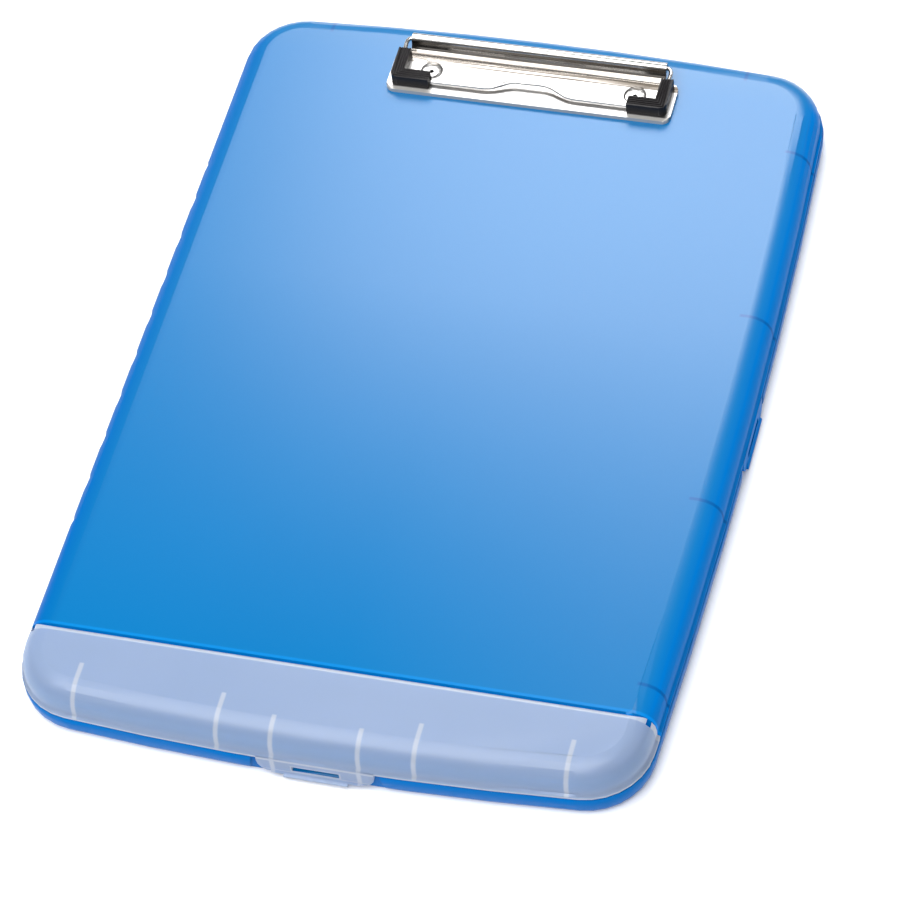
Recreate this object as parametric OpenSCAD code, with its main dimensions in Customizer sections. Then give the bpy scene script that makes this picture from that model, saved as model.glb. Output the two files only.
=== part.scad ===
// Storage clipboard box: a shallow tray with a side-hinged writing lid, a separate hinged
// pen cover across the front, and a low wire clip riveted to the lid.
// X runs across the box with the latch at +X, Y runs up to the clip, Z is up.
// The origin is at the middle of the underside.

/* [Overall size] */
// Width over the hinge knuckles and the side latch
total_w = 254; // [236:0.5:272]
// Length over the pen latch
total_l = 368.3; // [358:0.1:390]
// Height over the clip
total_h = 31.75; // [30.8:0.05:33]

/* [Case outline] */
// Radius of the four corners, seen from above
corner_r = 26; // [20:0.5:32]
// How far the back edge bulges out between its corners
bow_back = 3.4; // [1.5:0.1:5]
// How far the latch side bulges out between its corners
bow_side = 3.8; // [1.5:0.1:5]
// How far the front edge bulges out between its corners
bow_front = 3.9; // [1.5:0.1:5]
// Height of the lid's flat top above the table
case_h = 23.5; // [22:0.1:24.5]
// Length of the pen compartment, measured along Y
pen_depth = 38.1; // [35:0.1:46]
// Gap between the lid, the pen cover and the tray
seam = 0.3; // [0.2:0.05:0.5]

/* [Tray] */
// Height of the ledge that carries the lid and the pen cover
ledge_z = 9.5; // [8.5:0.1:10.5]
// Thickness of the tray's side wall
tray_wall = 3; // [2.8:0.1:3.6]
// Thickness of the tray's floor
tray_floor = 1.8; // [1.4:0.1:2.4]
// Height of the rounded foot of the side wall
foot_h = 6; // [4:0.5:7]
// How far the rounded foot draws in at the underside
foot_in = 2.7; // [1.5:0.1:3.5]
// Height of the tongue that stands up inside the lid
tongue_h = 1.8; // [1.4:0.1:2.4]
// Thickness of the tongue
tongue_t = 0.9; // [0.7:0.1:1.1]
// Thickness of the wall between the two compartments
divider_t = 2; // [1.6:0.1:2.6]

/* [Lid and pen cover] */
// Wall of the lid
lid_wall = 1.8; // [1.6:0.1:2]
// Wall of the pen cover
cover_wall = 1.5; // [1.3:0.1:1.6]
// How far the lid's side stands in from the tray's outline
side_step = 1.2; // [1:0.1:1.5]
// Radius of the upper edge, from the side into the flat top
edge_r = 9; // [8:0.25:10]
// Height of the bead along the lower edge
bead_h = 2.1; // [1.9:0.1:2.6]
// How far the bead stands in from the tray's outline
bead_step = 0.2; // [0.1:0.05:0.3]
// Thickness of the ribs inside the lid and the pen cover
rib_t = 1.2; // [0.8:0.1:1.6]
// How far the ribs reach in from the side of the lid
rib_reach = 11; // [10.5:0.5:13]
// Distance of the lid's outer side ribs from the ends of the box
rib_end = 50.6; // [44:0.1:59]
// Distance of the lid's inner side ribs from the middle of its length
rib_near_y = 46; // [35:0.5:60]
// Distance of the lid's back ribs from its middle
rib_back_x = 89; // [75:0.5:95]
// Distance of the pen cover's outer ribs from the side of the box
rib_outer_end = 31; // [30.5:0.5:35]
// Distance of the pen cover's middle ribs from its middle
rib_middle_x = 38.5; // [32:0.5:40]
// Distance of the pen cover's short ribs beside its latch
rib_inner_x = 17; // [12:0.5:20]
// How far the pen cover's long ribs reach in from its front
long_rib = 16; // [12:0.5:18]
// How far its short ribs reach in
short_rib = 10.5; // [10.2:0.1:12]
// Depth of the lid's turned-down front edge
front_lip = 5; // [4:0.5:6]

/* [Finger grip] */
// Number of bumps along the hinge side
bump_count = 9; // [5:1:9]
// Distance from one bump to the next
bump_pitch = 21; // [18:0.5:21]
// Depth of the valleys between the bumps
valley_d = 3.1; // [1.5:0.1:3.3]

/* [Lid hinge] */
// Radius of the hinge knuckles
knuckle_r = 1.3; // [1.25:0.05:1.4]
// Radius of the steel hinge pins
pin_r = 0.6; // [0.5:0.05:0.65]
// Radial clearance of a pin in the lid's knuckle
pin_clear = 0.05; // [0.02:0.01:0.08]
// Length of the lid's knuckle
lid_knuckle_l = 16; // [12:0.5:18]
// Length of each tray knuckle
tray_knuckle_l = 10; // [8:0.5:11]
// Distance of each hinge from the nearer end of the box
hinge_end = 62.2; // [60:0.1:63.5]

/* [Pen cover hinge] */
// Radius of the hooks that turn on the tray's rods
hook_r = 2.2; // [2.15:0.05:2.3]
// Radius of the rods on the divider
rod_r = 0.95; // [0.85:0.05:1]
// Running clearance of the hooks on the rods
rod_clear = 0.05; // [0.03:0.01:0.08]
// Distance from the middle to the centre of each rod
rod_x = 63; // [60:0.5:66]
// Length of each rod between its posts
rod_l = 40; // [34:0.5:42]
// Thickness of the posts that carry the rods
post_t = 2; // [1.6:0.1:2.4]

/* [Latches] */
// Width of the pen latch
pen_latch_w = 46; // [42:0.5:50]
// Width of the side latch
side_latch_w = 34; // [30:0.5:38]
// Radius of the lower corners of the latch tabs
latch_r = 5.5; // [3:0.5:6]
// Width of the thumb lip on each latch
lip_w = 25; // [18:0.5:26]
// Thickness of the latch tabs
latch_t = 1.6; // [1.4:0.1:1.6]
// How low the latch tabs reach above the table
latch_z = 2.6; // [2:0.1:3.5]
// How far the pen latch stands out of the front edge
pen_latch_proud = 1.5; // [0.8:0.1:2]
// How far the side latch stands out of the side edge
side_latch_proud = 0.6; // [0.4:0.1:1]
// Depth of the pockets that the latches close into
pocket_d = 2; // [1.8:0.05:2.1]
// Width of the window in each latch
window_w = 18.5; // [14:0.5:20]
// Height of the window in each latch
window_h = 2.6; // [2:0.1:3]

/* [Clip] */
// Width of the clip plate
plate_w = 121; // [116:1:126]
// Distance of the plate's front edge from the back of the case
plate_front = 43.4; // [42:0.1:45]
// Depth of the plate, front to back
plate_d = 21; // [20:0.1:22]
// Height of the plate above the lid
plate_h = 1.8; // [1.6:0.1:2]
// Sheet thickness of the plate
sheet_t = 0.8; // [0.6:0.05:0.9]
// Corner radius of the plate
plate_r = 3.5; // [2:0.5:5]
// Sideways place of the clip on the lid
clip_x = 1.5; // [-2:0.5:2]
// How far the ends of the roll, and of the ramp that rises to it, lie inside the plate's sides
roll_in = 6; // [6:0.5:8.5]
// Outer radius of the roll
roll_r = 2.2; // [2.1:0.05:2.4]
// Distance of the roll's axis behind the plate's rear edge
roll_back = 4.6; // [4.2:0.1:5]
// Radius of the bail's wire
wire_r = 0.9; // [0.8:0.05:1]
// Radius of the wire's two pivots inside the roll
pivot_r = 1.12; // [1.02:0.01:1.2]
// Length of each pivot
pivot_l = 15; // [8:0.5:24]
// Running clearance of the pivots in the roll
pivot_clear = 0.06; // [0.04:0.01:0.1]
// Distance of the bail's front bar from the plate's front edge
bar_in = 5.2; // [4.4:0.1:6]
// Height of the front bar's underside above the plate
bar_gap = 0.5; // [0.4:0.05:0.7]
// Width of the wave in the front bar
wave_w = 38; // [32:1:60]
// How far the wave bends back
wave_d = 4.5; // [2:0.1:5]
// How far the wave lifts
wave_h = 1; // [0:0.1:1.5]
// How far the bail's side wires stand outside the ends of the roll
bail_side = 1.6; // [1.4:0.05:3.5]
// Width of the grips' two arms
grip_w = 5.2; // [4.8:0.1:6]
// Height of the grips
grip_h = 4.8; // [4.4:0.1:5.4]
// Length of the grips along the front bar
grip_front_l = 16.5; // [14:0.5:20]
// Length of the grips along the side wires
grip_side_l = 16.6; // [14:0.1:16.8]
// Radius of the grips' outer corner
grip_r = 3; // [2:0.5:4]
// Distance between the two rivets
rivet_pitch = 87; // [80:1:92]
// Distance of the rivets from the plate's front edge
rivet_in = 12.6; // [11:0.1:13]
// Outer radius of the tubular rivets
rivet_r = 1.6; // [1.4:0.05:1.8]
// Radius of the dish around each rivet
dish_r = 4.9; // [4.5:0.1:5.5]

/* [Hidden] */

$fn = 24;
SIDE_STEPS = 6;      // straight steps along one bowed side
CORNER_STEPS = 7;    // steps round one corner
EDGE_STEPS = 5;      // steps from the side into the flat top
INNER_STEPS = 3;     // the same on the hidden inner side
BUMP_STEPS = 5;      // steps along one bump of the finger grip
FOOT_STEPS = 3;      // steps round the foot of the tray
LATCH_STEPS = 4;     // steps round a lower corner of a latch tab
EPS = 0.01;          // small overlap where two solids are fused or cut

BLUE = [0.08, 0.47, 0.86, 0.8];
FROST = [0.78, 0.84, 0.93, 0.7];
CHROME = [0.86, 0.86, 0.87];
STEEL = [0.62, 0.63, 0.65];
BLACK = [0.08, 0.08, 0.09];

// Extents of the case's outline
case_x0 = -total_w / 2 + knuckle_r;
case_x1 = total_w / 2 - side_latch_proud;
case_y0 = -total_l / 2 + pen_latch_proud;
case_y1 = total_l / 2;

// Centres of the corner arcs
core_x0 = case_x0 + corner_r;
core_x1 = case_x1 - bow_side - corner_r;
core_y0 = case_y0 + bow_front + corner_r;
core_y1 = case_y1 - bow_back - corner_r;
core_mx = (core_x0 + core_x1) / 2;
core_my = (core_y0 + core_y1) / 2;

// Each bowed side is an arc over the chord between two corner centres
function arc_radius(chord, rise) = (chord * chord / 4 + rise * rise) / (2 * rise);
side_r = arc_radius(core_y1 - core_y0, bow_side);
back_r = arc_radius(core_x1 - core_x0, bow_back);
front_r = arc_radius(core_x1 - core_x0, bow_front);
side_c = [core_x1 + bow_side - side_r, core_my];
back_c = [core_mx, core_y1 + bow_back - back_r];
front_c = [core_mx, core_y0 - bow_front + front_r];
side_a = asin((core_y1 - core_y0) / 2 / side_r);
back_a = asin((core_x1 - core_x0) / 2 / back_r);
front_a = asin((core_x1 - core_x0) / 2 / front_r);

// Edges of the lid and the pen cover where they meet
join_y = -total_l / 2 + pen_depth;
lid_y0 = join_y + seam / 2;
cover_y1 = join_y - seam / 2;

// Hinge axes
lid_axis_z = ledge_z + seam / 2;
cover_axis_y = cover_y1 - hook_r;
cover_axis_z = case_h - hook_r;
hinge_gap = seam;
corner_cut = 1.6; // Cut across the lower rear corners of the pen cover

// Clip
roll_w = plate_w - 2 * roll_in;
bail_w = roll_w + 2 * bail_side;
plate_y0 = case_y1 - plate_front;
plate_y1 = plate_y0 + plate_d;
plate_top = case_h + plate_h;
roll_y = plate_y1 + roll_back;
roll_z = total_h - roll_r;
bar_y = plate_y0 + bar_in;
bar_z = plate_top + bar_gap + wire_r;
rivet_y = plate_y0 + rivet_in;

// ---- Outline of the case --------------------------------------------------------------

// Points on an arc, without its last point, which the next stretch begins with
function arc(c, r, a0, a1, n) =
    [for (i = [0 : n - 1]) let (a = a0 + (a1 - a0) * i / n) c + r * [cos(a), sin(a)]];

// X of the latch side at a given Y, d inside the outline
function side_x(y, d) = side_c.x + sqrt(pow(side_r + corner_r - d, 2) - pow(y - side_c.y, 2));
// Y of the back and of the front edge at a given X, d inside the outline
function back_y(x, d) = back_c.y + sqrt(pow(back_r + corner_r - d, 2) - pow(x - back_c.x, 2));
function front_y(x, d) = front_c.y - sqrt(pow(front_r + corner_r - d, 2) - pow(x - front_c.x, 2));
// Angle at which the latch side crosses a given Y
function side_angle(y, d) = asin((y - side_c.y) / (side_r + corner_r - d));

// Finger grip on the hinge side: a row of rounded bumps with sharp valleys between them
grip_len = bump_count * bump_pitch;
function valley(y) =
    abs(y) > grip_len / 2 + EPS ? 0
    : valley_d * (1 - abs(sin(180 * (y + grip_len / 2) / bump_pitch)));
// The hinge side runs from the back corner down to y_end. The outer skin is d inside the
// outline and the valleys cut into it, and an inner skin keeps its wall w from them
function hinge_side(y_end, d, w) =
    [for (y = concat([core_y1, grip_len / 2 + 1],
                     [for (i = [0 : bump_count * BUMP_STEPS]) grip_len / 2 - i * bump_pitch / BUMP_STEPS],
                     [-grip_len / 2 - 1, y_end]))
        [case_x0 + w + max(d - w, valley(y)), y]];

// Closed rings, counter-clockwise from above: the whole case, the lid and the pen cover
function case_ring(d, w) = concat(
    arc(side_c, side_r + corner_r - d, -side_a, side_a, SIDE_STEPS),
    arc([core_x1, core_y1], corner_r - d, side_a, 90 - back_a, CORNER_STEPS),
    arc(back_c, back_r + corner_r - d, 90 - back_a, 90 + back_a, SIDE_STEPS),
    arc([core_x0, core_y1], corner_r - d, 90 + back_a, 180, CORNER_STEPS),
    hinge_side(core_y0 + EPS, d, w),
    arc([core_x0, core_y0], corner_r - d, 180, 270 - front_a, CORNER_STEPS),
    arc(front_c, front_r + corner_r - d, 270 - front_a, 270 + front_a, SIDE_STEPS),
    arc([core_x1, core_y0], corner_r - d, 270 + front_a, 360 - side_a, CORNER_STEPS));
function lid_ring(d, w, y_end) = concat(
    arc(side_c, side_r + corner_r - d, side_angle(y_end, d), side_a, SIDE_STEPS),
    arc([core_x1, core_y1], corner_r - d, side_a, 90 - back_a, CORNER_STEPS),
    arc(back_c, back_r + corner_r - d, 90 - back_a, 90 + back_a, SIDE_STEPS),
    arc([core_x0, core_y1], corner_r - d, 90 + back_a, 180, CORNER_STEPS),
    hinge_side(y_end, d, w));
function cover_ring(d, y_end) = concat(
    [[case_x0 + d, y_end]],
    arc([core_x0, core_y0], corner_r - d, 180, 270 - front_a, CORNER_STEPS),
    arc(front_c, front_r + corner_r - d, 270 - front_a, 270 + front_a, SIDE_STEPS),
    arc([core_x1, core_y0], corner_r - d, 270 + front_a, 360 - side_a, CORNER_STEPS),
    [side_c + (side_r + corner_r - d) * [cos(side_a), -sin(side_a)], [side_x(y_end, d), y_end]]);

function raised(ring, z) = [for (p = ring) [p.x, p.y, z]];

// Solid through a stack of rings with equal counts. Both ends are closed by fans from the
// point number apex, which is chosen so that no face of a fan is a sliver. A stack that
// comes round on itself has no ends: there the last ring joins the first
module loft(rings, apex = SIDE_STEPS + CORNER_STEPS + 1, round_trip = false) {
    n = len(rings[0]);
    m = len(rings);
    points = [for (ring = rings) for (p = ring) p];
    skin = [for (j = [0 : round_trip ? m - 1 : m - 2]) for (i = [0 : n - 1])
        let (k = (j + 1) % m, h = (i + 1) % n)
        for (face = [[j * n + i, k * n + h, j * n + h], [j * n + i, k * n + i, k * n + h]]) face];
    first = [for (i = [0 : n - 1]) (apex + i) % n];
    last = [for (i = [n : -1 : 1]) (m - 1) * n + (apex + i) % n];
    polyhedron(points, concat(skin, round_trip ? [] : [first, last]), convexity = 6);
}

// Each moulding is modelled as a few solids that meet face to face: a flat panel, the rim
// round it and the rim's corners. These blocks lie over the corners and part them from the rim
corner_lap = 0.7;
block = 60;
module corner_blocks(rows) {
    for (x = [core_x0 + corner_lap - block, core_x1 - corner_lap])
        for (row = rows)
            translate([x, row > 0 ? core_y1 - corner_lap : core_y0 + corner_lap - block, -1])
                cube([block, block, total_h]);
}

// Section of the shell's side as [height, inset] pairs, from the seam up to the flat top.
// The outer skin has a bead along the seam, and the inner skin is hollowed behind it for
// the tray's tongue
shell_z0 = ledge_z + seam;
bead_top = shell_z0 + bead_h;
function edge_curve(r, steps = EDGE_STEPS) =
    [for (i = [0 : steps]) let (a = 90 * i / steps)
        [case_h - edge_r + r * sin(a), side_step + edge_r - r * cos(a)]];
function outer_section() = concat(
    [[shell_z0, bead_step], [bead_top - side_step / 2, bead_step], [bead_top, side_step]],
    edge_curve(edge_r));
tongue_in = tray_wall - tongue_t;
behind_bead = tongue_in - seam;
function inner_section(wall) = concat(
    [[shell_z0, behind_bead], [bead_top, behind_bead],
     [bead_top + wall / 2, side_step + wall]],
    edge_curve(edge_r - wall, INNER_STEPS));
// The flat panels begin a little inside the rounded edge
panel_in = side_step + edge_r + 0.3;
function reversed(list) = [for (i = [len(list) - 1 : -1 : 0]) list[i]];

// Section of a rib that springs from the side wall and ends under the flat top. The edge
// function gives the place along the rib of a point at an inset from the outline
rib_z0 = bead_top + 1.5;
rib_drop = 2;
function rib_section(edge, wall, reach) = concat(
    [[edge(side_step + wall / 2), rib_z0]],
    [for (s = edge_curve(edge_r - wall / 2)) [edge(s[1]), s[0]]],
    [[edge(panel_in - 0.1), case_h - wall / 2], [edge(panel_in - 0.1), case_h - wall],
     [edge(side_step + reach), case_h - wall],
     [edge(side_step + reach), case_h - wall - rib_drop],
     [edge(side_step + wall + 2.2), case_h - edge_r + 1],
     [edge(side_step + wall + 1.6), rib_z0]]);

// ---- Hinges ---------------------------------------------------------------------------

// Cylinder along Y, centred on the lid's hinge axis
module on_lid_axis(r, y0, y1) {
    translate([case_x0, y1, lid_axis_z]) rotate([90, 0, 0]) cylinder(r = r, h = y1 - y0);
}
// Cylinder along X, centred on the pen cover's hinge axis
module on_cover_axis(r, x0, x1) {
    translate([x0, cover_axis_y, cover_axis_z]) rotate([0, 90, 0]) cylinder(r = r, h = x1 - x0);
}

hinge_y = total_l / 2 - hinge_end;
lid_knuckle_0 = hinge_y - lid_knuckle_l / 2;
lid_knuckle_1 = hinge_y + lid_knuckle_l / 2;
hinge_0 = lid_knuckle_0 - hinge_gap - tray_knuckle_l;
hinge_1 = lid_knuckle_1 + hinge_gap + tray_knuckle_l;
// Spans along Y of the tray's knuckles and of the lid's knuckles
tray_spans = [for (s = [-1, 1]) for (p = [[hinge_0, lid_knuckle_0 - hinge_gap],
                                         [lid_knuckle_1 + hinge_gap, hinge_1]])
    s > 0 ? p : [-p[1], -p[0]]];
lid_spans = [[lid_knuckle_0, lid_knuckle_1], [-lid_knuckle_1, -lid_knuckle_0]];

module hinge_pin(s) {
    color(STEEL)
        on_lid_axis(pin_r, s > 0 ? hinge_0 : -hinge_1, s > 0 ? hinge_1 : -hinge_0);
}
module hinge_pin_back() { hinge_pin(1); }
module hinge_pin_front() { hinge_pin(-1); }

// ---- Tray -----------------------------------------------------------------------------

tongue_z = ledge_z + tongue_h;
inner_foot = [for (i = [0 : FOOT_STEPS]) let (a = 90 * i / FOOT_STEPS)
    [tray_floor + (foot_h - tray_floor) * (1 - cos(a)), tray_wall + foot_in * (1 - sin(a)) * 0.7]];
floor_in = inner_foot[0][1];
// Section of the rim: up the outside from the underside, over the ledge and the tongue,
// down the inside to the floor and back to the underside
tray_section = concat(
    [for (i = [0 : FOOT_STEPS]) let (a = 90 * i / FOOT_STEPS)
        [foot_h * (1 - cos(a)), foot_in * (1 - sin(a))]],
    [[ledge_z, 0], [ledge_z, tongue_in], [tongue_z, tongue_in], [tongue_z, tray_wall]],
    reversed(inner_foot),
    [[0, floor_in]]);
module tray_ring() {
    loft([for (s = tray_section) raised(case_ring(s[1], s[1] > tongue_in - EPS ? s[1] : 0), s[0])],
         round_trip = true);
}

module tray_floor() {
    color(BLUE) linear_extrude(tray_floor) polygon(case_ring(floor_in, floor_in));
}

// The wall between the compartments stands clear of the shells above the ledge
divider_clear = side_step + lid_wall + 3 * seam;
divider_top = cover_axis_z - hook_r - seam;
module divider() {
    shoulder_z = ledge_z - seam;
    inner_x0 = case_x0 + divider_clear;
    inner_x1 = side_x(cover_axis_y, divider_clear);
    slope = edge_r / 2;
    slack = 0.2;
    color(BLUE) {
        translate([0, cover_axis_y + divider_t / 2, 0]) rotate([90, 0, 0]) linear_extrude(divider_t)
            polygon(concat(
                [for (s = inner_foot) [side_x(cover_axis_y, s[1]) - slack, s[0]]],
                [[side_x(cover_axis_y, tray_wall) - slack, shoulder_z], [inner_x1, shoulder_z],
                 [inner_x1, case_h - edge_r], [inner_x1 - slope, divider_top],
                 [inner_x0 + slope, divider_top], [inner_x0, case_h - edge_r],
                 [inner_x0, shoulder_z], [case_x0 + tray_wall, shoulder_z]],
                [for (s = reversed(inner_foot)) [case_x0 + s[1], s[0]]]));
        cover_rods();
    }
}

// Posts and rods on the divider that the pen cover's hooks turn on
post_half = rod_r - rod_clear * 4;
module cover_rods() {
    for (s = [-1, 1]) {
        on_cover_axis(rod_r, s * rod_x - rod_l / 2, s * rod_x + rod_l / 2);
        for (e = [-1, 1])
            translate([s * rod_x + e * (rod_l + post_t) / 2, 0, 0]) {
                on_cover_axis(rod_r, -post_t / 2 - EPS, post_t / 2 + EPS);
                translate([-post_t / 2, cover_axis_y - post_half, divider_top - EPS])
                    cube([post_t, 2 * post_half, cover_axis_z - divider_top + EPS]);
            }
    }
}

// Pockets in the tray's wall for the two latches, with flared ends, and the catches in them
pocket_side = 2;
pocket_flare = 1.5;
latch_window_z = latch_z + 2.2;
catch_h = window_h - 2 * seam;
module pocket(width) {
    half = width / 2 + pocket_side;
    rotate([90, 0, 0]) translate([0, 0, -pocket_d]) linear_extrude(2 * pocket_d + foot_in)
        polygon([[-half - pocket_flare, -EPS], [half + pocket_flare, -EPS],
                 [half, tongue_z + EPS], [-half, tongue_z + EPS]]);
}
pen_edge = front_y(core_mx, 0);
side_edge = side_x(core_my, 0);
// Puts a latch feature, drawn with the wall's outer face at y = 0 facing -Y, in its place
module at_pen_latch() { translate([core_mx, pen_edge, 0]) children(); }
module at_side_latch() { translate([side_edge, core_my, 0]) rotate([0, 0, 90]) children(); }

module tray_rim() {
    color(BLUE) difference() {
        union() {
            difference() {
                tray_ring();
                corner_blocks([-1, 1]);
                // The tongue stops where the lid's front edge and the divider cross it
                translate([-total_w / 2, cover_axis_y - divider_t, ledge_z])
                    cube([total_w, lid_y0 + lid_wall + 2 * seam - cover_axis_y + divider_t, tongue_h + 1]);
                at_pen_latch() pocket(pen_latch_w);
                at_side_latch() pocket(side_latch_w);
                for (p = lid_spans) on_lid_axis(knuckle_r + seam, p[0] - hinge_gap, p[1] + hinge_gap);
            }
            for (p = tray_spans) on_lid_axis(knuckle_r, p[0], p[1]);
            at_pen_latch() pocket_wall(pen_latch_w);
            at_side_latch() pocket_wall(side_latch_w);
        }
        for (p = tray_spans) on_lid_axis(pin_r + pin_clear / 2, p[0] - EPS, p[1] + EPS);
    }
}
module tray_corners() {
    color(BLUE) intersection() {
        tray_ring();
        corner_blocks([-1, 1]);
    }
}
// Bottom of a pocket, thickened inwards, with the catch standing on it
module pocket_wall(width) {
    half = width / 2 + pocket_side + pocket_flare + 1;
    translate([-half, pocket_d, tray_floor])
        cube([2 * half, tray_wall - tongue_t, ledge_z - 2 * seam - tray_floor]);
    translate([-window_w / 2 + seam, latch_t + seam, latch_window_z + seam])
        cube([window_w - 2 * seam, pocket_d - latch_t - seam + EPS, catch_h]);
}

// ---- Latch tabs -----------------------------------------------------------------------

// A tab that hangs from a shell's bead, with a window for the catch and a flared thumb lip,
// drawn with the tray's outer face at y = 0 facing -Y
module latch_tab(width, proud) {
    inner = pocket_d - seam;
    face = inner - latch_t;
    lip_drop = 0.6;
    lip_h = 1.7;
    side = width / 2 - latch_r;
    root_z = shell_z0 + bead_h / 2;
    difference() {
        union() {
            translate([0, inner, 0]) rotate([90, 0, 0]) linear_extrude(latch_t)
                polygon(concat(
                    [[-width / 2, root_z]],
                    arc([-side, latch_z + latch_r], latch_r, 180, 270, LATCH_STEPS),
                    arc([side, latch_z + latch_r], latch_r, 270, 360, LATCH_STEPS),
                    [[width / 2, latch_z + latch_r], [width / 2, root_z]]));
            // Thumb lip, with a finer rim above it that runs on to the corners
            translate([-lip_w / 2, 0, 0]) rotate([90, 0, 90]) linear_extrude(lip_w)
                polygon([[inner, latch_z - lip_drop], [-proud, latch_z - lip_drop],
                         [-proud, latch_z - lip_drop + lip_h / 2], [face - EPS, latch_z - lip_drop + lip_h],
                         [inner, latch_z - lip_drop + lip_h]]);
            translate([-side, 0, 0]) rotate([90, 0, 90]) linear_extrude(2 * side)
                polygon([[face + EPS, latch_z], [face - proud / 2, latch_z + 0.3],
                         [face - proud / 2, latch_z + 0.7], [face + EPS, latch_z + 1.4]]);
        }
        translate([-window_w / 2, -proud - 1, latch_window_z]) cube([window_w, proud + pocket_d + 1, window_h]);
    }
}

// ---- Lid ------------------------------------------------------------------------------

rib_far_y = total_l / 2 - rib_end;
module lid_ribs() {
    for (y = [-rib_far_y, -rib_near_y, rib_near_y, rib_far_y])
        translate([0, core_my + y + rib_t / 2, 0]) rotate([90, 0, 0]) linear_extrude(rib_t)
            polygon(rib_section(function (d) side_x(core_my + y, d), lid_wall, rib_reach));
    for (x = [-rib_back_x, rib_back_x])
        translate([core_mx + x - rib_t / 2, 0, 0]) rotate([90, 0, 90]) linear_extrude(rib_t)
            polygon(rib_section(function (d) back_y(core_mx + x, d), lid_wall, rib_reach));
}

module lid_shell() {
    loft(concat(
        [for (s = reversed(inner_section(lid_wall)))
            raised(lid_ring(s[1], lid_wall, lid_y0 + lid_wall), s[0])],
        [for (s = outer_section()) raised(lid_ring(s[1], 0, lid_y0), s[0])]));
}
lid_panel_y0 = lid_y0 + lid_wall + 0.3;
module lid_panel_plan() { polygon(lid_ring(panel_in, 0, lid_panel_y0)); }
// Blocks over the corners and over the front ends of the rim
module lid_blocks() {
    end = panel_in + 2;
    corner_blocks([1]);
    for (x = [case_x0 + end - block, side_x(lid_y0, end)])
        translate([x, lid_y0 + end - block, -1]) cube([block, block, total_h]);
}
// What is left of the shell without its flat panel and its open front
module lid_edge() {
    front_clear = edge_r;
    difference() {
        lid_shell();
        translate([0, 0, case_h - lid_wall - 1]) linear_extrude(lid_wall + 2) lid_panel_plan();
        translate([case_x0 + front_clear, lid_y0 - 1, shell_z0 - 1])
            cube([side_x(lid_y0, front_clear) - case_x0 - front_clear, lid_wall + 2,
                  case_h - front_lip - shell_z0 + 1]);
        for (p = tray_spans) on_lid_axis(knuckle_r + seam, p[0] - hinge_gap, p[1] + hinge_gap);
    }
}

module lid_panel() {
    color(BLUE) translate([0, 0, case_h - lid_wall]) linear_extrude(lid_wall) difference() {
        lid_panel_plan();
        for (s = [-1, 1])
            translate([clip_x + s * rivet_pitch / 2, rivet_y]) circle(r = rivet_r + EPS);
    }
}
module lid_rim() {
    color(BLUE) difference() {
        union() {
            difference() {
                lid_edge();
                lid_blocks();
            }
            for (p = lid_spans) on_lid_axis(knuckle_r, p[0], p[1]);
            at_side_latch() latch_tab(side_latch_w, side_latch_proud);
            lid_ribs();
        }
        for (p = lid_spans) on_lid_axis(pin_r + pin_clear, p[0] - EPS, p[1] + EPS);
    }
}
module lid_corners() {
    color(BLUE) intersection() {
        lid_edge();
        lid_blocks();
    }
}

// ---- Pen cover ------------------------------------------------------------------------

module cover_ribs() {
    for (side = [-1, 1])
        for (rib = [[total_w / 2 - rib_outer_end, long_rib], [rib_middle_x, long_rib],
                    [rib_inner_x, short_rib]])
            let (x = core_mx + side * rib[0])
                translate([x - rib_t / 2, 0, 0]) rotate([90, 0, 90]) linear_extrude(rib_t)
                    polygon(rib_section(function (d) front_y(x, d), cover_wall, rib[1]));
}

// The panel stops in front of the hooks
cover_panel_y1 = cover_axis_y - hook_r - 0.4;
module cover_flat(y0, y1) {
    translate([0, 0, case_h - cover_wall]) linear_extrude(cover_wall) intersection() {
        polygon(cover_ring(panel_in, cover_y1 + 1));
        translate([-total_w / 2, y0]) square([total_w, y1 - y0]);
    }
}
module cover_shell() {
    loft(concat(
        [for (s = reversed(inner_section(cover_wall)))
            raised(cover_ring(s[1], cover_y1 - cover_wall), s[0])],
        [for (s = outer_section()) raised(cover_ring(s[1], cover_y1), s[0])]));
}
module cover_blocks() {
    for (x = [core_x0 + corner_lap - block, core_x1 - corner_lap])
        translate([x, cover_y1 + 1 - block, -1]) cube([block, block, total_h]);
}
// What is left of the shell without its flat panel, its rear edge and its open rear
module cover_edge() {
    // The rear is open between the side walls, and wider down at the bead, where the tray's
    // tongue passes as the cover swings
    slack = seam / 2;
    rear_openings = [[behind_bead + slack, bead_top + cover_wall],
                     [side_step + cover_wall + slack, cover_axis_z]];
    difference() {
        cover_shell();
        translate([0, 0, case_h - cover_wall - 1]) linear_extrude(cover_wall + 2)
            polygon(cover_ring(panel_in, cover_y1 + 1));
        for (o = rear_openings)
            translate([case_x0 + o[0], cover_y1 - cover_wall - 1, shell_z0 - 1])
                cube([side_x(cover_y1, o[0]) - case_x0 - o[0], cover_wall + 2, o[1] - shell_z0 + 1]);
        cover_rear_round();
        // The lower rear corners are cut back so that they swing clear of the ledge
        translate([0, cover_y1, shell_z0]) rotate([45, 0, 0])
            cube([total_w, corner_cut, corner_cut], center = true);
    }
}
// The rear edge is rounded about the hinge axis
module cover_rear_round() {
    difference() {
        translate([-total_w / 2, cover_axis_y, cover_axis_z]) cube([total_w, hook_r + 1, hook_r + 1]);
        on_cover_axis(hook_r, -total_w / 2 - 1, total_w / 2 + 1);
    }
}

module cover_panel() {
    color(FROST) cover_flat(case_y0, cover_panel_y1);
}
module cover_rim() {
    color(FROST) {
        difference() {
            cover_edge();
            cover_blocks();
        }
        cover_ribs();
        at_pen_latch() latch_tab(pen_latch_w, pen_latch_proud);
    }
}
module cover_corners() {
    color(FROST) intersection() {
        cover_edge();
        cover_blocks();
    }
}
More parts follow.
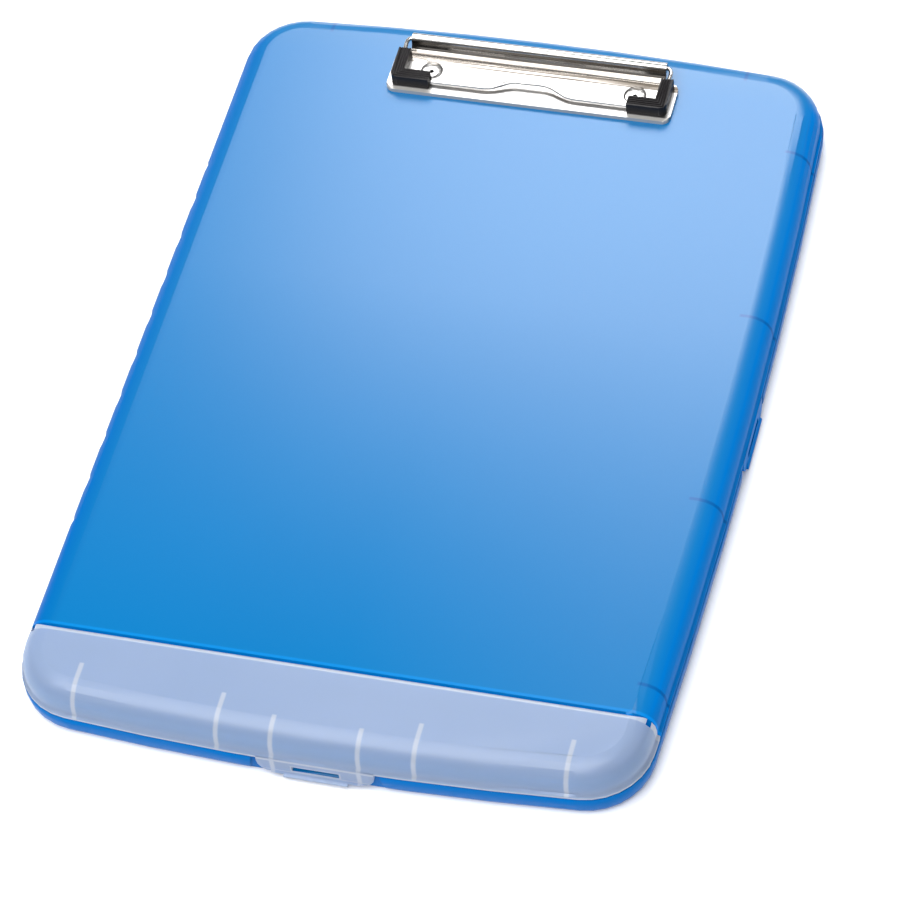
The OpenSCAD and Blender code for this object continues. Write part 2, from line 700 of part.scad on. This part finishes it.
// Rear edge with the hooks, open towards the front so that they snap over the rods
hook_in = rod_r + rod_clear;
bead_half = core_x1 - core_mx + corner_r - side_step - edge_r - 2;
module cover_hooks() {
    edges = [-bead_half, -rod_x - rod_l / 2 - post_t - seam, -rod_x - rod_l / 2 + seam,
             -rod_x + rod_l / 2 - seam, -rod_x + rod_l / 2 + post_t + seam];
    spans = concat([[edges[0], edges[1]], [edges[2], edges[3]], [edges[4], -edges[4]],
                    [-edges[3], -edges[2]], [-edges[1], -edges[0]]]);
    color(FROST) difference() {
        union() {
            cover_flat(cover_panel_y1, cover_y1);
            for (p = spans)
                translate([p[0], cover_axis_y, cover_axis_z]) rotate([90, 0, 90])
                    linear_extrude(p[1] - p[0]) difference() {
                        circle(r = hook_r);
                        // Mouth of the hook
                        polygon([[0, -EPS], [-hook_r * 0.58, -hook_r - EPS], [-hook_r - 1, -hook_r - EPS],
                                 [-hook_r - 1, hook_in], [0, hook_in]]);
                    }
        }
        on_cover_axis(hook_in, -bead_half - EPS, bead_half + EPS);
        cover_rear_round();
        // Slots for the posts
        for (s = [-1, 1]) for (e = [-1, 1])
            translate([s * rod_x + e * (rod_l + post_t) / 2 - post_t / 2 - seam, cover_axis_y - hook_r - 1,
                       cover_axis_z - hook_r - 1])
                cube([post_t + 2 * seam, 2 * hook_r + 2, hook_r + 1 + rod_r + rod_clear]);
    }
}

// ---- Clip plate -----------------------------------------------------------------------

module rounded_plate(w, d, r, h) {
    hull() for (x = [r, w - r]) for (y = [r, d - r]) translate([x, y, 0]) cylinder(r = r, h = h);
}
// Section across the ramp and the roll, as seen from the latch side, with y to the right
module ramp_section() {
    foot_y = plate_y1 - 1.5;
    neck_y = roll_y - roll_r + sheet_t / 2;
    steps = 6;
    // The ramp is hollow: it starts level with the plate and ends upright against the roll
    centre_line = [for (i = [0 : steps]) let (a = 90 * i / steps)
        [foot_y + (neck_y - foot_y) * sin(a), plate_top - sheet_t / 2 + (roll_z - plate_top + sheet_t / 2) * (1 - cos(a))]];
    upper = [for (i = [0 : steps]) let (a = 90 * i / steps)
        centre_line[i] + sheet_t / 2 * [-sin(a), cos(a)]];
    lower = [for (i = [steps : -1 : 0]) let (a = 90 * i / steps)
        centre_line[i] + sheet_t / 2 * [sin(a), -cos(a)]];
    polygon(concat(upper, lower));
}

module clip_plate() {
    pivot_bore = pivot_r + pivot_clear;
    color(CHROME) difference() {
        union() {
            difference() {
                translate([clip_x - plate_w / 2, plate_y0, case_h])
                    rounded_plate(plate_w, plate_d, plate_r, plate_h);
                translate([clip_x - plate_w / 2 + sheet_t, plate_y0 + sheet_t, case_h - 1])
                    rounded_plate(plate_w - 2 * sheet_t, plate_d - 2 * sheet_t, plate_r - sheet_t,
                                  plate_h - sheet_t + 1);
            }
            for (s = [-1, 1])
                translate([clip_x + s * rivet_pitch / 2, rivet_y, case_h])
                    cylinder(r = dish_r + sheet_t, h = plate_h - sheet_t / 2);
            translate([clip_x - roll_w / 2, 0, 0]) rotate([90, 0, 90]) linear_extrude(roll_w) {
                ramp_section();
                translate([roll_y, roll_z]) circle(r = roll_r);
            }
        }
        translate([clip_x - roll_w / 2 - 1, roll_y, roll_z]) rotate([0, 90, 0])
            cylinder(r = pivot_bore, h = roll_w + 2);
        for (s = [-1, 1])
            translate([clip_x + s * rivet_pitch / 2, rivet_y, case_h]) {
                translate([0, 0, sheet_t])
                    cylinder(r1 = dish_r - plate_h + sheet_t, r2 = dish_r, h = plate_h - sheet_t + EPS);
                translate([0, 0, -1]) cylinder(r = rivet_r + EPS, h = sheet_t + 2);
            }
    }
}

// ---- Rivets ---------------------------------------------------------------------------

rivet_head_r = 2.8;
rivet_head_t = 0.5;
washer_r = 3.6;
washer_t = 0.6;
module clip_rivets() {
    grip_z0 = case_h - lid_wall - washer_t;
    $fn = 16;
    color(STEEL) for (s = [-1, 1])
        translate([clip_x + s * rivet_pitch / 2, rivet_y, 0]) difference() {
            union() {
                translate([0, 0, grip_z0 - rivet_head_t])
                    cylinder(r = rivet_r, h = case_h + sheet_t - grip_z0 + 2 * rivet_head_t);
                translate([0, 0, case_h + sheet_t]) cylinder(r = rivet_head_r, h = rivet_head_t);
                translate([0, 0, grip_z0 - rivet_head_t]) cylinder(r = rivet_head_r - 0.3, h = rivet_head_t);
            }
            translate([0, 0, grip_z0 - rivet_head_t - 1])
                cylinder(r = rivet_r * 0.62, h = case_h + sheet_t - grip_z0 + 2 * rivet_head_t + 2);
        }
}
module rivet_washers() {
    $fn = 16;
    color(STEEL) for (s = [-1, 1])
        translate([clip_x + s * rivet_pitch / 2, rivet_y, case_h - lid_wall - washer_t]) difference() {
            cylinder(r = washer_r, h = washer_t);
            translate([0, 0, -1]) cylinder(r = rivet_r + EPS, h = washer_t + 2);
        }
}

// ---- Bail and its grips ---------------------------------------------------------------

BEND_STEPS = 4;
WAVE_STEPS = 12;
WIRE_SIDES = 8;
bend = 3.2;          // length of wire taken up by each bend
// Rounds the corner b between a and c with a curve that starts bend before it
function unit(v) = v / norm(v);
function bend_points(a, b, c) =
    let (p = b + bend * unit(a - b), q = b + bend * unit(c - b))
    [for (i = [0 : BEND_STEPS]) let (t = i / BEND_STEPS) (1 - t) * (1 - t) * p + 2 * t * (1 - t) * b + t * t * q];
roll_end = [roll_w / 2 - bend, roll_y, roll_z];
rear_corner = [bail_w / 2 + 0.6, roll_y, roll_z];
front_corner = [bail_w / 2, bar_y, bar_z];
function half_wire(s) =
    let (f = function (p) [clip_x + s * p.x, p.y, p.z])
    concat([f(roll_end)],
           [for (p = bend_points(roll_end, rear_corner, front_corner)) f(p)],
           [for (p = bend_points(rear_corner, front_corner, [0, bar_y, bar_z])) f(p)]);
wave_flat = 0.3;     // share of the wave's width that is level
wave = [for (i = [0 : WAVE_STEPS])
    let (x = wave_w * (i / WAVE_STEPS - 0.5), u = abs(2 * x / wave_w),
         k = 0.5 + 0.5 * cos(180 * max(0, u - wave_flat) / (1 - wave_flat)))
    [clip_x + x, bar_y + wave_d * k, bar_z + wave_h * k]];
wire_path = concat(half_wire(-1), wave, reversed(half_wire(1)));

// Tube along a path that stays near the plane with the given normal
module tube(path, r, normal) {
    n = len(path);
    loft([for (i = [0 : n - 1])
        let (t = unit(path[min(i + 1, n - 1)] - path[max(i - 1, 0)]),
             u = unit(cross(normal, t)), v = cross(t, u))
        [for (k = [0 : WIRE_SIDES - 1]) let (a = 360 * k / WIRE_SIDES) path[i] + r * (cos(a) * u + sin(a) * v)]],
        apex = 0);
}
bail_normal = unit([0, bar_z - roll_z, roll_y - bar_y]);

module clip_bail() {
    color(CHROME) {
        tube(wire_path, wire_r, bail_normal);
        for (s = [-1, 1])
            translate([clip_x + s * (roll_w / 2 - bend / 2 - pivot_l / 2), roll_y, roll_z])
                rotate([0, 90, 0]) cylinder(r = pivot_r, h = pivot_l, center = true);
    }
}

GROOVES = 4;
groove_w = 0.5;
groove_d = 0.35;
grip_z0 = plate_top + seam / 2;
module grip_plan() {
    x1 = bail_w / 2 + grip_w / 2;
    y0 = bar_y - grip_w / 2;
    translate([x1 - grip_w, y0 + grip_r]) square([grip_w, grip_side_l - grip_r]);
    translate([x1 - grip_front_l, y0]) square([grip_front_l - grip_r, grip_w]);
    translate([x1 - grip_r, y0 + grip_r]) circle(r = grip_r);
}
module grip(s) {
    x1 = bail_w / 2 + grip_w / 2;
    y0 = bar_y - grip_w / 2;
    color(BLACK) difference() {
        translate([clip_x, 0, grip_z0]) mirror([s < 0 ? 1 : 0, 0, 0]) difference() {
            linear_extrude(grip_h) grip_plan();
            for (i = [1 : GROOVES]) {
                step = grip_w * i / (GROOVES + 1);
                translate([x1 - grip_front_l - 1, y0 + step - groove_w / 2, grip_h - groove_d])
                    cube([grip_front_l + 1 - step, groove_w, groove_d + 1]);
                translate([x1 - step - groove_w / 2, y0 + step - groove_w / 2, grip_h - groove_d])
                    cube([groove_w, grip_side_l, groove_d + 1]);
            }
        }
        tube(wire_path, wire_r + EPS, bail_normal);
    }
}
module grip_left() { grip(-1); }
module grip_right() { grip(1); }

tray_floor();
tray_rim();
tray_corners();
divider();
lid_panel();
lid_rim();
lid_corners();
cover_panel();
cover_rim();
cover_corners();
cover_hooks();
hinge_pin_back();
hinge_pin_front();
clip_plate();
clip_bail();
grip_left();
grip_right();
clip_rivets();
rivet_washers();
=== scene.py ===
# A storage clipboard box: a blue translucent tray and writing lid, a frosted pen cover
# across the front and a low plated wire clip riveted to the lid.
import math

import bmesh
import bpy
from mathutils import Matrix, Vector


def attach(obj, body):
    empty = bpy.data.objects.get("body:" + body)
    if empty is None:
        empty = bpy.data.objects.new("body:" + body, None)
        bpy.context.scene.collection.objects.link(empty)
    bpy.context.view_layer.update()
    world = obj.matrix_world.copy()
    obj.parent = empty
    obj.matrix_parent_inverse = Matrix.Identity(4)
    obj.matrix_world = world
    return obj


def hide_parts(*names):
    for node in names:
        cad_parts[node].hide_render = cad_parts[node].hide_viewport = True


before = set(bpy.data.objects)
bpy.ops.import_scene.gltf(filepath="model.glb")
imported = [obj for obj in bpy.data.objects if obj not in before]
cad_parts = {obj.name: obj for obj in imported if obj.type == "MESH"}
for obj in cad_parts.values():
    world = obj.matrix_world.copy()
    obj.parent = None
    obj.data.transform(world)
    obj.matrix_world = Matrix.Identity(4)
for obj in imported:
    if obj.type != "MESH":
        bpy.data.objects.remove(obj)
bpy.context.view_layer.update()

# ---- Camera ------------------------------------------------------------------------------
# A long lens from the front right, a little over fifty degrees above the table and rolled
# so that the box leans to the left.
azimuth, elevation, roll = (math.radians(angle) for angle in (21.853, 51.562, -9.38))
distance = 1.737465
aim = Vector((0.008315, -0.020989, 0.0))
picture_px, focal_px = 900, 4395.165
sensor_mm = 36.0
back = Vector((math.sin(azimuth) * math.cos(elevation),
               -math.cos(azimuth) * math.cos(elevation), math.sin(elevation)))
level = Vector((math.cos(azimuth), math.sin(azimuth), 0.0))
upward = back.cross(level)
right = level * math.cos(roll) + upward * math.sin(roll)
top = upward * math.cos(roll) - level * math.sin(roll)
camera = bpy.data.objects.new("camera", bpy.data.cameras.new("camera"))
camera.data.sensor_width = sensor_mm
camera.data.lens = sensor_mm * focal_px / picture_px
camera.data.clip_start = 0.05
camera.data.clip_end = 20
camera.matrix_world = Matrix((right, top, back)).transposed().to_4x4()
camera.matrix_world.translation = aim + back * distance
bpy.context.scene.collection.objects.link(camera)
bpy.context.scene.camera = camera

# ---- Table and light -----------------------------------------------------------------------
# A seamless white table in a white tent. A small lamp behind the box shines back off the
# lid's frosted top, and a broad one above lights everything evenly.


class Socket:
    """A shader value that arithmetic can be done on."""

    def __init__(self, finish, link):
        self.finish, self.link = finish, link

    def _math(self, operation, *values):
        return self.finish.node("Math", {"operation": operation}, *values)

    def __add__(self, other):
        return self._math("ADD", self, other)

    def __sub__(self, other):
        return self._math("SUBTRACT", self, other)

    def __rsub__(self, other):
        return self._math("SUBTRACT", other, self)

    def __mul__(self, other):
        return self._math("MULTIPLY", self, other)

    def __truediv__(self, other):
        return self._math("DIVIDE", self, other)

    def __abs__(self):
        return self._math("ABSOLUTE", self)

    __radd__ = __add__
    __rmul__ = __mul__

    def either(self, other):
        return self._math("MAXIMUM", self, other)

    def below(self, limit, soft):
        """1 where the value is under the limit, fading to 0 over the soft width."""
        ramp = (limit - self) / soft + 0.5
        return self._math("MINIMUM", self._math("MAXIMUM", ramp, 0.0), 1.0)

    def above(self, limit, soft):
        """1 where the value is over the limit, fading to 0 over the soft width."""
        return 1.0 - self.below(limit, soft)

    def near(self, middle, half, soft):
        """1 within half a width of the middle, fading to 0 over the soft width."""
        return abs(self - middle).below(half, soft)


class Finish:
    """A material whose nodes are written as Python expressions."""

    def __init__(self, name, **constants):
        self.material = bpy.data.materials.new(name)
        self.material.use_nodes = True
        self.tree = self.material.node_tree
        self.shader = self.tree.nodes["Principled BSDF"]
        for socket, value in constants.items():
            self.shader.inputs[socket.replace("_", " ")].default_value = value

    def node(self, kind, settings=None, *values, output=0, **named):
        """A node with its settings made first, and then its sockets filled or linked."""
        made = self.tree.nodes.new("ShaderNode" + kind)
        settings = dict(settings or {})
        stops = settings.pop("stops", ())
        for key, value in settings.items():
            setattr(made, key, value)
        if stops:
            elements = made.color_ramp.elements
            while len(elements) < len(stops):
                elements.new(1.0)
            for element, (place, colour) in zip(elements, stops):
                element.position = place
                element.color = (*colour, 1.0)
        for key, value in [*enumerate(values), *named.items()]:
            target = made.inputs[key.replace("_", " ") if isinstance(key, str) else key]
            if isinstance(value, Socket):
                self.tree.links.new(value.link, target)
            else:
                target.default_value = value
        return Socket(self, made.outputs[output])

    def place(self):
        """The point on the object, in metres, whole and as its three values."""
        point = self.node("TexCoord", output="Object")
        split = self.node("SeparateXYZ", None, point).link.node.outputs
        return point, *(Socket(self, split[axis]) for axis in "XYZ")

    def stretched(self, point, scale):
        return self.node("Mapping", None, point, Scale=scale)

    def noise(self, point, scale, detail=2.0, roughness=0.5):
        return self.node("TexNoise", None, Vector=point, Scale=scale, Detail=detail,
                         Roughness=roughness)

    def mix(self, factor, first, second):
        """The first colour faded into the second. A Mix node's colours are sockets 6 and 7."""
        made = self.tree.nodes.new("ShaderNodeMix")
        made.data_type = "RGBA"
        for number, value in ((0, factor), (6, first), (7, second)):
            if isinstance(value, Socket):
                self.tree.links.new(value.link, made.inputs[number])
            else:
                made.inputs[number].default_value = value if number == 0 else (*value, 1.0)
        return Socket(self, made.outputs[2])

    def set(self, **links):
        for socket, value in links.items():
            self.tree.links.new(value.link, self.shader.inputs[socket.replace("_", " ")])

    def bump(self, height, depth, strength):
        self.set(Normal=self.node("Bump", None, Strength=strength, Distance=depth,
                                  Height=height))


paper = Finish("white_table", Roughness=0.6, Emission_Strength=0.15,
               Emission_Color=(1.0, 1.0, 1.0, 1.0))
point = paper.place()[0]
paper.set(Base_Color=paper.mix(paper.noise(point, 3.0), (0.9, 0.9, 0.9), (0.92, 0.92, 0.92)))
table_half = 3.0
table_drop = 0.0002  # under the box, so that the two faces don't meet
bm = bmesh.new()
bmesh.ops.create_grid(bm, x_segments=1, y_segments=1, size=table_half)
table_mesh = bpy.data.meshes.new("table")
bm.to_mesh(table_mesh)
bm.free()
table_mesh.materials.append(paper.material)
table = bpy.data.objects.new("table", table_mesh)
table.location.z = -table_drop
bpy.context.scene.collection.objects.link(table)

world = bpy.data.worlds.new("tent")
world.use_nodes = True
tent = world.node_tree.nodes["Background"].inputs
tent["Color"].default_value = (1.0, 1.0, 1.0, 1.0)
tent["Strength"].default_value = 0.32
bpy.context.scene.world = world


def lamp(name, place, target, size, watts):
    light = bpy.data.lights.new(name, "AREA")
    light.shape = "RECTANGLE"
    light.size, light.size_y = size
    light.energy = watts
    made = bpy.data.objects.new(name, light)
    made.location = place
    towards = Vector(target) - Vector(place)
    made.rotation_euler = towards.to_track_quat("-Z", "Y").to_euler()
    bpy.context.scene.collection.objects.link(made)


lamp("lamp_behind", place=(-0.06, 0.86, 0.82), target=(0.0, 0.1, 0.0), size=(0.7, 0.45),
     watts=9.0)
lamp("lamp_above", place=(-0.25, -0.55, 1.5), target=(0.0, 0.0, 0.0), size=(1.5, 1.5),
     watts=34.0)

bpy.context.scene.view_settings.view_transform = "Standard"
bpy.context.scene.view_settings.look = "None"

# ---- Tray -----------------------------------------------------------------------------------
# The tray is one moulding of translucent blue polystyrene, smooth inside and out. The packed
# solids of a moulding are fused here into one skin, with its rounded edges shaded smooth.
split_gap, sliver, fused_gap = 2e-6, 1e-6, 4e-6
even_weight = 100


def welded(node):
    """A copy of the node's mesh with its split corners joined again."""
    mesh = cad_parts[node].data.copy()
    bm = bmesh.new()
    bm.from_mesh(mesh)
    bmesh.ops.remove_doubles(bm, verts=bm.verts, dist=split_gap)
    bmesh.ops.dissolve_degenerate(bm, edges=bm.edges, dist=sliver)
    bm.to_mesh(mesh)
    bm.free()
    mesh.materials.clear()
    return bpy.data.objects.new(node + "_solid", mesh)


def dressed(name, nodes, body, finish, crease_degrees=32.0):
    """A smoothly shaded piece with the shape of the nodes together, which stands for them."""
    solids = [welded(node) for node in nodes]
    for solid in solids:
        bpy.context.scene.collection.objects.link(solid)
    for solid in solids[1:]:
        union = solids[0].modifiers.new("fuse", "BOOLEAN")
        union.operation = "UNION"
        union.solver = "EXACT"
        union.object = solid
    graph = bpy.context.evaluated_depsgraph_get()
    mesh = bpy.data.meshes.new_from_object(solids[0].evaluated_get(graph))
    for solid in solids:
        bpy.data.objects.remove(solid)
    bm = bmesh.new()
    bm.from_mesh(mesh)
    bmesh.ops.remove_doubles(bm, verts=bm.verts, dist=fused_gap)
    for face in bm.faces:
        face.smooth = True
    bm.to_mesh(mesh)
    bm.free()
    mesh.set_sharp_from_angle(angle=math.radians(crease_degrees))
    mesh.materials.clear()
    mesh.materials.append(finish.material)
    piece = bpy.data.objects.new(name, mesh)
    bpy.context.scene.collection.objects.link(piece)
    weights = piece.modifiers.new("even_faces", "WEIGHTED_NORMAL")
    weights.keep_sharp = True
    weights.weight = even_weight
    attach(piece, body)
    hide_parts(*nodes)


glossy_blue = Finish("glossy_blue_polystyrene", IOR=1.15, Transmission_Weight=0.1)
point = glossy_blue.place()[0]
cloud = glossy_blue.noise(point, 9.0, 3.0)
glossy_blue.set(Base_Color=glossy_blue.mix(cloud, (0.0, 0.15, 0.5), (0.0, 0.165, 0.55)),
                Roughness=cloud * 0.08 + 0.26)
glossy_blue.bump(glossy_blue.noise(point, 500.0), depth=0.00002, strength=0.4)
dressed("tray", ("tray_rim", "tray_floor", "tray_corners", "divider"), "case", glossy_blue)

# ---- Lid ------------------------------------------------------------------------------------
# The lid is the same translucent blue. Its flat top is lightly frosted for writing on, and
# its rounded sides are smooth and look deeper in colour, being seen through more plastic.
frosted_blue = Finish("frosted_blue_polystyrene", IOR=1.07, Transmission_Weight=0.1,
                      Coat_Roughness=0.3, Emission_Strength=1.0)
point, x, y, z = frosted_blue.place()
cloud = frosted_blue.noise(point, 9.0, 3.0)
grain = frosted_blue.noise(point, 1400.0, 2.0, 0.6)

# The smooth side starts at the rounded edge, and lower down at the clip's end of the lid.
side_z, clip_side_z, clip_end_y = 0.0222, 0.0192, 0.165
side = z.below(side_z, 0.003) * y.below(clip_end_y, 0.012)
side = side.either(z.below(clip_side_z, 0.002))

# Four ribs inside the latch side and two inside the clip's end show as fine dark lines.
rib_half, rib_blur, rib_end_blur = 0.0007, 0.0006, 0.001
rib_from_x, rib_from_y = 0.112, 0.17
ribs = None
for rib_y in (-0.1326, -0.045, 0.047, 0.1345):
    rib = y.near(rib_y, rib_half, rib_blur) * x.above(rib_from_x, rib_end_blur)
    ribs = rib if ribs is None else ribs.either(rib)
for rib_x in (-0.0903, 0.0877):
    rib = x.near(rib_x, rib_half, rib_blur) * y.above(rib_from_y, rib_end_blur)
    ribs = ribs.either(rib)

top_blue = frosted_blue.mix(cloud, (0.0, 0.153, 0.4), (0.0, 0.167, 0.425))
side_blue = frosted_blue.mix(cloud, (0.0, 0.178, 0.585), (0.0, 0.194, 0.63))
# Painted shade: the lid's left edge is painted a darker blue, fading inward over about 14 mm,
# for the shade falling across its rounding. The rib colour is the ribs' own.
left_shade_blue, rib_blue = (0.0, 0.085, 0.33), (0.0, 0.07, 0.3)
left_edge_shade = x.below(-0.1195, 0.014)
plain_blue = frosted_blue.mix(left_edge_shade * 0.8, frosted_blue.mix(side, top_blue, side_blue),
                              left_shade_blue)
frosted_blue.set(Base_Color=frosted_blue.mix(ribs * 0.6, plain_blue, rib_blue))

# The frost catches most light towards the clip, and is worn smoother at the front left. The
# rounded edge at the clip's end shines as well.
worn = y.below(-0.06, 0.2) * (x.below(0.05, 0.1) * 0.4 + 0.5)
frost = (1.0 - side) * (1.0 - left_edge_shade * 0.7) * (1.0 - worn)
clip_edge = y.above(0.166, 0.01)
frosted_blue.set(Coat_Weight=frost.either(clip_edge),
                 Roughness=(1.0 - side) * 0.12 + 0.28 + cloud * 0.04)

# Painted glow: a faint blue emission on the lid's front edge lifts the shade in the narrow gap
# against the pen cover.
painted_edge_glow = y.below(-0.1446, 0.0006)
frosted_blue.set(Emission_Color=frosted_blue.mix(painted_edge_glow, (0.0, 0.0, 0.0),
                                                 (0.0, 0.065, 0.2)))
frosted_blue.bump(grain * (1.0 - side), depth=0.00004, strength=0.6)
dressed("lid", ("lid_rim", "lid_panel", "lid_corners"), "lid_assembly", frosted_blue)

# ---- Pen cover ------------------------------------------------------------------------------
# The pen cover is frosted clear polystyrene, one moulding with its hinge hooks, ribs and
# thumb latch. The plastic looks whiter where it is thick, at its ribs and beads.
clear = Finish("frosted_clear_polystyrene", IOR=1.45, Transmission_Weight=0.5)
point, x, y, z = clear.place()
haze = clear.noise(point, 14.0, 3.0)

rear_bead_y, low_bead_z, low_bead_top_z, bead_blur = -0.1486, 0.0095, 0.0107, 0.0004
low_bead = z.below(low_bead_top_z, bead_blur) - z.below(low_bead_z, bead_blur)
thick = y.above(rear_bead_y, bead_blur).either(low_bead)
rib_half, rib_blur = 0.0009, 0.0006
for rib_x, rib_end_y in ((-0.0974, -0.1615), (-0.0399, -0.1648), (-0.0184, -0.171),
                         (0.0156, -0.171), (0.0371, -0.1648), (0.0946, -0.1615)):
    rib = x.near(rib_x, rib_half, rib_blur) * y.below(rib_end_y, rib_blur)
    thick = thick.either(rib)

# The thumb latch: a pale outline round its window, and two moulded ridges on its face.
latch_x, window_z, latch_face_y = -0.0015, 0.0061, -0.1812
across = abs(x - latch_x)
outline = across.below(0.0099, 0.0003) * z.near(window_z, 0.0019, 0.0003)
ridges = z.near(0.0022, 0.0003, 0.0002).either(z.near(0.0041, 0.0002, 0.0002))
thick = thick.either(outline.either(ridges) * y.below(latch_face_y, 0.0002) * 0.8)

thin_tone = clear.mix(haze, (0.36, 0.49, 0.73), (0.42, 0.54, 0.77))
tray_seen = z.below(0.0195, 0.004) * z.above(0.0135, 0.003)
thin_tone = clear.mix(tray_seen * 0.45, thin_tone, (0.2, 0.4, 0.72))
tone = clear.mix(thick, thin_tone, (0.66, 0.73, 0.86))

# The blue catch of the tray shows along the sill of the window.
sill_z, sill_front_y, sill_back_y = 0.0048, -0.1824, -0.1808
sill = across.below(0.0093, 0.0002) * z.near(sill_z, 0.0002, 0.0001)
sill = sill * y.above(sill_front_y, 0.0001) * y.below(sill_back_y, 0.0001)
clear.set(Base_Color=clear.mix(sill, tone, (0.0, 0.17, 0.5)), Roughness=haze * 0.1 + 0.28)
clear.bump(clear.noise(point, 900.0), depth=0.00003, strength=0.4)
dressed("pen_cover", ("cover_rim", "cover_panel", "cover_corners", "cover_hooks"),
        "pen_cover", clear)

# ---- Lid hinge pins -------------------------------------------------------------------------
# Two straight steel pins, pushed through the knuckles on the left side.
steel = Finish("bright_steel", Metallic=1.0)
point = steel.place()[0]
brushed = steel.noise(steel.stretched(point, (900.0, 900.0, 900.0)), 1.0, 3.0)
steel.set(Base_Color=steel.mix(brushed, (0.4, 0.4, 0.41), (0.56, 0.55, 0.54)),
          Roughness=brushed * 0.15 + 0.2)
dressed("pin_back", ("hinge_pin_back",), "case", steel)
dressed("pin_front", ("hinge_pin_front",), "case", steel)

# ---- Clip plate -----------------------------------------------------------------------------
# Pressed sheet, plated bright, with a folded front edge and a ramp that rises to an open
# roll. Fine draw lines run across the ramp; their brown and grey stripes are painted
# reflection, with painted shade darkest at its foot.
plated = Finish("bright_plate")
point, x, y, z = plated.place()
lines = plated.noise(plated.stretched(point, (9.0, 700.0, 700.0)), 1.0, 4.0, 0.7)
folded_y, flat_y, ramp_y, ramp_z, roll_y = 0.1427, 0.1585, 0.1589, 0.025, 0.1645
foot_front_y, foot_back_y = 0.1572, 0.1606

sheet_tone = plated.mix(plated.noise(point, 60.0), (0.34, 0.345, 0.35), (0.48, 0.46, 0.44))
folded = y.below(folded_y, 0.0003)
sheet_tone = plated.mix(folded, sheet_tone, (0.5, 0.49, 0.47))
ramp = z.above(ramp_z, 0.0002) * y.above(ramp_y, 0.0005) * y.below(roll_y, 0.0006)
# Painted reflection: the draw lines are coloured from dark brown to pale grey, standing in for
# the stripes the curved ramp reflects.
ramp_lines_and_reflections = plated.node("ValToRGB", {"stops": [
    (0.3, (0.1, 0.085, 0.075)), (0.48, (0.34, 0.31, 0.28)), (0.62, (0.62, 0.6, 0.57))]}, lines)
# Painted shade: the foot of the ramp is coloured darker still, down to near black.
foot = y.above(foot_front_y, 0.0003) * y.below(foot_back_y, 0.0004)
foot_shade_tone = plated.node("ValToRGB", {"stops": [
    (0.38, (0.03, 0.025, 0.02)), (0.5, (0.09, 0.08, 0.07)), (0.62, (0.34, 0.32, 0.3))]}, lines)
plated.set(Base_Color=plated.mix(foot, plated.mix(ramp, sheet_tone, ramp_lines_and_reflections), foot_shade_tone),
           Roughness=lines * 0.1 + 0.14 + y.below(flat_y, 0.001) * 0.12,
           Metallic=1.0 - folded * 0.7)
plated.bump(lines * ramp, depth=0.00005, strength=0.5)
dressed("plate", ("clip_plate",), "lid_assembly", plated)

# ---- Bail -----------------------------------------------------------------------------------
# One length of bent spring wire, plated like the plate, with a shallow wave in its front bar.
wire = Finish("plated_wire", Metallic=1.0)
point = wire.place()[0]
wear = wire.noise(point, 500.0, 3.0)
wire.set(Base_Color=wire.mix(wear, (0.5, 0.49, 0.48), (0.68, 0.67, 0.66)),
         Roughness=wear * 0.1 + 0.12)
dressed("wire", ("clip_bail",), "bail", wire, crease_degrees=50.0)

# ---- Grips ----------------------------------------------------------------------------------
# Soft black vinyl corners pushed over the bends of the wire, grooved along both arms.
vinyl = Finish("black_vinyl", Specular_IOR_Level=0.2)
point = vinyl.place()[0]
skin = vinyl.noise(point, 700.0, 3.0, 0.6)
vinyl.set(Base_Color=vinyl.mix(skin, (0.004, 0.0035, 0.004), (0.012, 0.01, 0.012)),
          Roughness=skin * 0.2 + 0.34)
vinyl.bump(skin, depth=0.00004, strength=0.5)
dressed("left_grip", ("grip_left",), "bail", vinyl)
dressed("right_grip", ("grip_right",), "bail", vinyl)

# ---- Rivets and washers ---------------------------------------------------------------------
# Two tubular steel rivets hold the plate, closed over plain washers inside the lid.
dressed("rivets", ("clip_rivets",), "lid_assembly", steel)
dressed("washers", ("rivet_washers",), "lid_assembly", steel)
